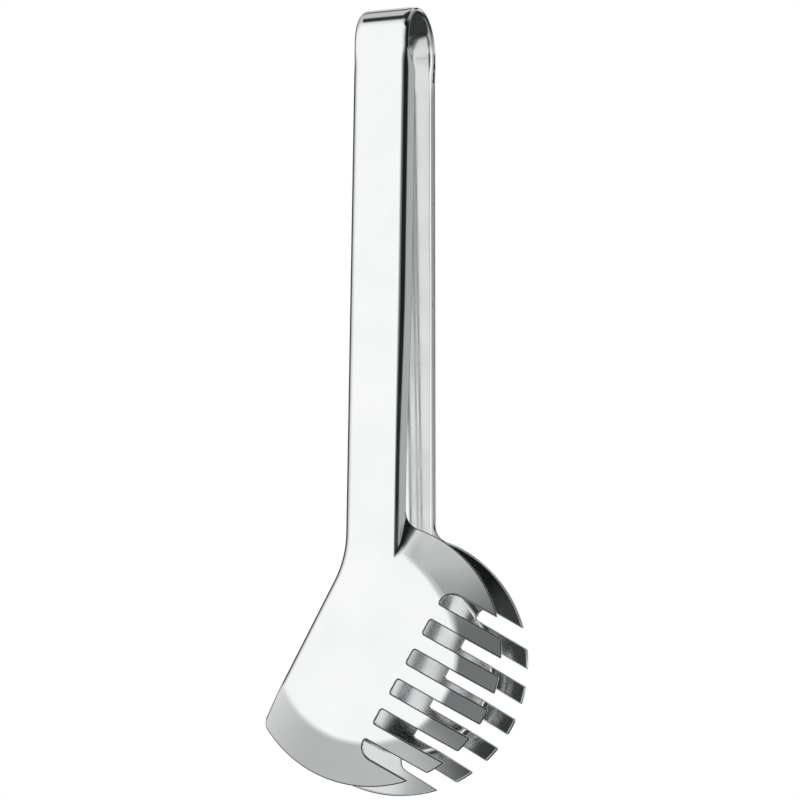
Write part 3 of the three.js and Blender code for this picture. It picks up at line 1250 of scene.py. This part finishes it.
def metal(name: str) -> tuple[bpy.types.Material, Graph, Socket]:
    """Starts a metal finish.

    Args:
        name: The finish's name.

    Returns:
        The material, its node tree, and the place on the unfolded sheet in metres.
    """
    material = bpy.data.materials.new(name)
    material.use_nodes = True
    g = Graph(material.node_tree)
    place = g.add("ShaderNodeAttribute", attribute_name="sheet_place").outputs["Vector"]
    return material, g, place


def dress(g: Graph, colour: Socket, rough: Socket, normal: Socket) -> None:
    """Ends a metal finish.

    Args:
        g: The node tree.
        colour: The metal's colour.
        rough: Its roughness.
        normal: Its bumped normal.
    """
    inputs = {"Base Color": colour, "Metallic": 1.0, "Roughness": rough, "Normal": normal}
    shader = g.add("ShaderNodeBsdfPrincipled", inputs)
    g.add("ShaderNodeOutputMaterial", {"Surface": shader.outputs[0]})


@dataclass(frozen=True)
class PolishedFace:
    """Mirror-polished sheet: faint forming waves, fine polishing lines and a handled cloudiness.

    Scales are in noise cells for each metre, wave_stretch is a factor on them along each axis,
    and heights are in metres.
    """

    bright: tuple[float, float, float] = (0.905, 0.913, 0.913)
    veiled: tuple[float, float, float] = (0.868, 0.878, 0.880)
    smooth: float = 0.055
    cloudy: float = 0.105
    cloud_scale: float = 45.0
    wave_stretch: tuple[float, float, float] = (1.0, 0.6, 1.0)
    wave_scale: float = 62.0
    wave_height: float = 4.0e-6
    line_scales: tuple[float, float, float] = (5200.0, 70.0, 900.0)
    line_height: float = 2.5e-8
    line_roughness: float = 0.03

    def make(self) -> bpy.types.Material:
        """Writes the material.

        Returns:
            The material.
        """
        material, g, place = metal("polished_steel")
        cloud = g.noise(place, self.cloud_scale, detail=3.0, roughness=0.55)
        lines = g.noise(g.stretched(place, self.line_scales), 1.0, detail=2.0, roughness=0.6)
        waves = g.noise(g.stretched(place, self.wave_stretch), self.wave_scale, detail=1.0, roughness=0.4)
        rough = g.mix(g.ramp(cloud, 0.35, 0.70), self.smooth, self.cloudy)
        rough = g.math("MULTIPLY_ADD", g.math("SUBTRACT", lines, 0.5), self.line_roughness, rough)
        bumped = g.bump(self.wave_height, waves)
        lined = g.bump(self.line_height, lines, bumped)
        dress(g, g.tint(g.ramp(cloud, 0.30, 0.75), self.bright, self.veiled), rough, lined)
        return material


@dataclass(frozen=True)
class ShearedEdge:
    """A zone of the blanked edge, with fine marks across the sheet's thickness.

    Scales are in noise cells for each metre, and the height is in metres. The near-black colours
    given for the rolled-over rounding are a painted dark reflection.
    """

    name: str
    bright: tuple[float, float, float]
    dull: tuple[float, float, float]
    smooth: float = 0.13
    worn: float = 0.22
    mark_scales: tuple[float, float, float] = (4200.0, 4200.0, 350.0)
    mark_height: float = 1.2e-6
    patch_scale: float = 160.0

    def make(self) -> bpy.types.Material:
        """Writes the material.

        Returns:
            The material.
        """
        material, g, place = metal(self.name)
        marks = g.noise(g.stretched(place, self.mark_scales), 1.0, detail=2.0, roughness=0.6)
        patches = g.noise(place, self.patch_scale, detail=2.0, roughness=0.5)
        rough = g.mix(g.ramp(patches, 0.3, 0.7), self.smooth, self.worn)
        colour = g.tint(g.ramp(marks, 0.35, 0.70), self.bright, self.dull)
        dress(g, colour, rough, g.bump(self.mark_height, marks))
        return material


# Studio

@dataclass(frozen=True)
class Card:
    """A soft-edged patch of the studio that the mirror finish sees, by direction in degrees.

    Azimuth 0 is in front of the tongs and 90 is on their right. The fades are half as wide as
    the soft edges on the left, right, low and high side, and slant tips the card's low and
    high edges, in degrees of elevation for each degree of azimuth to the right.
    """

    azimuths: tuple[float, float]
    elevations: tuple[float, float]
    level: float
    fades: tuple[float, float, float, float] = (6.0, 6.0, 6.0, 6.0)
    slant: float = 0.0


@dataclass(frozen=True)
class Lamp:
    """A broad round lamp, in metres and watts, which the polished metal doesn't mirror."""

    name: str
    spot: tuple[float, float, float]
    size: float
    power: float
    aim: tuple[float, float, float] = (0.0, 0.0, -0.3)

    def hang(self) -> None:
        """Hangs the lamp and turns it to a point just under the tongs."""
        light = bpy.data.lights.new(self.name, "AREA")
        light.shape, light.size, light.energy = "DISK", self.size, self.power
        piece = bpy.data.objects.new(self.name, light)
        piece.location = self.spot
        piece.rotation_mode = "QUATERNION"
        piece.rotation_quaternion = (Vector(self.aim) - Vector(self.spot)).to_track_quat("-Z", "Y")
        piece.visible_glossy = False
        bpy.context.scene.collection.objects.link(piece)


@dataclass(frozen=True)
class Studio:
    """A white room with pale cards and dark gaps between them, and a pale floor far below.

    The turn is how far the cards are shifted, in degrees to the left and down. The floor fades
    into the room between two distances, and floor_lift is how far it has done so up to there.
    """

    floor_height: float = -0.62
    floor_radius: float = 12.0
    floor_sides: int = 96
    floor_tints: tuple[tuple[float, float, float], ...] = ((0.80, 0.80, 0.79), (0.84, 0.84, 0.835))
    floor_grain: float = 9.0
    floor_fade: tuple[float, float] = (1.2, 5.0)
    floor_lift: float = 0.30
    open_level: float = 0.43
    shade_coolness: float = 1.035
    turn: tuple[float, float] = (2.18, 0.7)
    cards: tuple[Card, ...] = (
        Card((-181, 181), (-84, -18), 0.53, (1, 1, 1, 12)),
        Card((150, 222), (-52, 56), 0.90, (6, 18, 6, 16)),
        Card((12, 70), (-40, 70), 0.18, (7, 7, 8, 8)),
        Card((84, 168), (-60, -20), 0.03, (8, 6, 6, 5)),
        Card((31, 160), (-9, 8.7), 1.00, (6, 8, 5, 1)),
        Card((-153, -87), (-30, 38), 0.05, (4, 10, 6, 9)),
        Card((-150, -95), (-42, -12), 0.01, (5, 6, 6, 4)),
        Card((-194, -176), (14, 58), 0.04, (5, 3, 2, 5)),
        Card((-162, -134), (46, 58), 0.04, (5, 5, 2, 5)),
        Card((-70, 2), (-10.5, 63.5), 1.03, (40, 14, 14, 7), -0.18),
        Card((3, 64), (-40, -2), 0.20, (13, 5, 6, 8)),
        Card((2, 16), (22, 62), 0.58, (10, 8, 6, 9)),
        Card((-152, -92), (55, 76), 0.60, (12, 4, 7, 3)),
        Card((29, 96), (10, 60), 0.015, (11, 15, 1.2, 5)),
        Card((-10, 46), (47.7, 74), 0.01, (1.5, 5, 0.5, 4), -0.33),
        Card((-98, -54), (66.2, 80), 0.03, (8, 8, 1.2, 1)),
        Card((-181, 181), (72, 91), 0.03, (1, 1, 1.8, 1)),
        Card((-181, 181), (-91, -45), 0.04, (1, 1, 1, 7)),
    )
    lamps: tuple[Lamp, ...] = (
        Lamp("overhead_lamp", (-0.5, -0.6, 1.6), 1.4, 16.0),
        Lamp("side_lamp", (1.4, 0.5, 1.2), 1.2, 6.0),
    )

    def world(self) -> None:
        """Writes the room: plain white to the camera, the cards to the metal."""
        world = bpy.data.worlds.new("studio")
        world.use_nodes = True
        bpy.context.scene.world = world
        g = Graph(world.node_tree)
        way = g.add("ShaderNodeTexCoord").outputs["Generated"]
        parts = g.add("ShaderNodeSeparateXYZ", {0: way}).outputs
        degree = 180 / math.pi
        around = g.math("ARCTAN2", parts[0], g.math("MULTIPLY", parts[1], -1.0))
        around = g.math("MULTIPLY_ADD", around, degree, self.turn[0])
        above = g.math("MULTIPLY_ADD", g.math("ARCSINE", parts[2]), degree, self.turn[1])
        level: Value = self.open_level
        for card in self.cards:
            middle, half = sum(card.azimuths) / 2, (card.azimuths[1] - card.azimuths[0]) / 2
            bottom, top = card.elevations
            left, right, low, high = card.fades
            off = g.math("WRAP", g.math("SUBTRACT", around, middle), 180.0, -180.0)
            up = g.math("MULTIPLY_ADD", off, -card.slant, above)
            mask = g.ramp(off, -half - left, -half + left)
            mask = g.math("MULTIPLY", mask, g.ramp(off, half - right, half + right, 1.0, 0.0))
            mask = g.math("MULTIPLY", mask, g.ramp(up, bottom - low, bottom + low))
            mask = g.math("MULTIPLY", mask, g.ramp(up, top - high, top + high, 1.0, 0.0))
            level = g.mix(mask, level, card.level)
        seen = g.add("ShaderNodeLightPath").outputs["Is Camera Ray"]
        red = g.mix(seen, g.math("POWER", level, self.shade_coolness), 1.0)
        plain = g.mix(seen, level, 1.0)
        colour = g.add("ShaderNodeCombineColor", {0: red, 1: plain, 2: plain}).outputs[0]
        background = g.add("ShaderNodeBackground", {"Color": colour, "Strength": 1.0})
        g.add("ShaderNodeOutputWorld", {"Surface": background.outputs[0]})

    def floor(self) -> None:
        """Lays the pale floor, which fades into the white room far away and keeps shadows."""
        sides, r = self.floor_sides, self.floor_radius
        turns = [math.tau * i / sides for i in range(sides)]
        rim = [(r * math.cos(t), r * math.sin(t), self.floor_height) for t in turns]
        mesh = bpy.data.meshes.new("studio_floor")
        mesh.from_pydata(rim, [], [list(range(sides))])
        material = bpy.data.materials.new("pale_floor")
        material.use_nodes = True
        g = Graph(material.node_tree)
        place = g.add("ShaderNodeTexCoord").outputs["Object"]
        far = g.add("ShaderNodeVectorMath", {0: place}, operation="LENGTH").outputs["Value"]
        grain = g.noise(place, self.floor_grain, detail=4.0, roughness=0.5)
        colour = g.tint(grain, *self.floor_tints)
        near = g.add("ShaderNodeBsdfDiffuse", {"Color": colour})
        lift = g.add("ShaderNodeEmission", {"Color": (1.0, 1.0, 1.0, 1.0), "Strength": 1.0})
        camera = g.add("ShaderNodeLightPath").outputs["Is Camera Ray"]
        fade = g.math("MULTIPLY", camera, g.ramp(far, *self.floor_fade, self.floor_lift, 1.0))
        shader = g.add("ShaderNodeMixShader", {0: fade, 1: near.outputs[0], 2: lift.outputs[0]})
        g.add("ShaderNodeOutputMaterial", {"Surface": shader.outputs[0]})
        mesh.materials.append(material)
        floor = bpy.data.objects.new("studio_floor", mesh)
        floor.visible_glossy = False
        bpy.context.scene.collection.objects.link(floor)


@dataclass(frozen=True)
class Viewpoint:
    """The photograph's point of view, in degrees, metres, and millimetres of lens and sensor."""

    azimuth: float = 20.66
    elevation: float = -11.21
    roll: float = 0.42
    distance: float = 1.5486
    lens: float = 204.48
    sensor: float = 36.0
    clip: tuple[float, float] = (0.05, 40.0)
    look_at: tuple[float, float, float] = (0.002639, 0.000061, -0.137036)

    def place(self) -> None:
        """Sets up the camera."""
        a, e = math.radians(self.azimuth), math.radians(self.elevation)
        back = Vector((math.sin(a) * math.cos(e), -math.cos(a) * math.cos(e), math.sin(e)))
        data = bpy.data.cameras.new("camera")
        data.lens, data.sensor_width, data.sensor_fit = self.lens, self.sensor, "HORIZONTAL"
        data.clip_start, data.clip_end = self.clip
        data.dof.use_dof = False
        camera = bpy.data.objects.new("camera", data)
        camera.location = Vector(self.look_at) + back * self.distance
        camera.rotation_mode = "QUATERNION"
        turn = Matrix.Rotation(math.radians(self.roll), 4, "Z").to_quaternion()
        camera.rotation_quaternion = (-back).to_track_quat("-Z", "Y") @ turn
        bpy.context.scene.collection.objects.link(camera)
        bpy.context.scene.camera = camera


def main() -> None:
    """Builds both halves of the tongs, the studio and the camera."""
    logging.basicConfig(level=logging.INFO, format="%(message)s")
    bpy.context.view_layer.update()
    straight_handle = HandleSizes(neck_reach=HandleSizes.flange_reach)
    skins = {Side.FRONT: SheetSkin(), Side.BACK: SheetSkin(handle=straight_handle)}
    finishes = (
        PolishedFace().make(),
        ShearedEdge("edge_middle", bright=(0.80, 0.808, 0.81), dull=(0.68, 0.69, 0.695)).make(),
        # The rolled-over rounding's near-black colours are a painted dark reflection, not the steel's own
        # colour.
        ShearedEdge("edge_rounding_painted_dark", bright=(0.17, 0.176, 0.178), dull=(0.08, 0.083, 0.085)).make(),
    )
    for side in Side:
        SteelHalf(skins[side], side, finishes).build()
    studio = Studio()
    studio.world()
    studio.floor()
    for lamp in studio.lamps:
        lamp.hang()
    Viewpoint().place()
    bpy.context.scene.view_settings.view_transform = "Standard"
    bpy.context.view_layer.update()


if __name__ == "__main__":
    main()
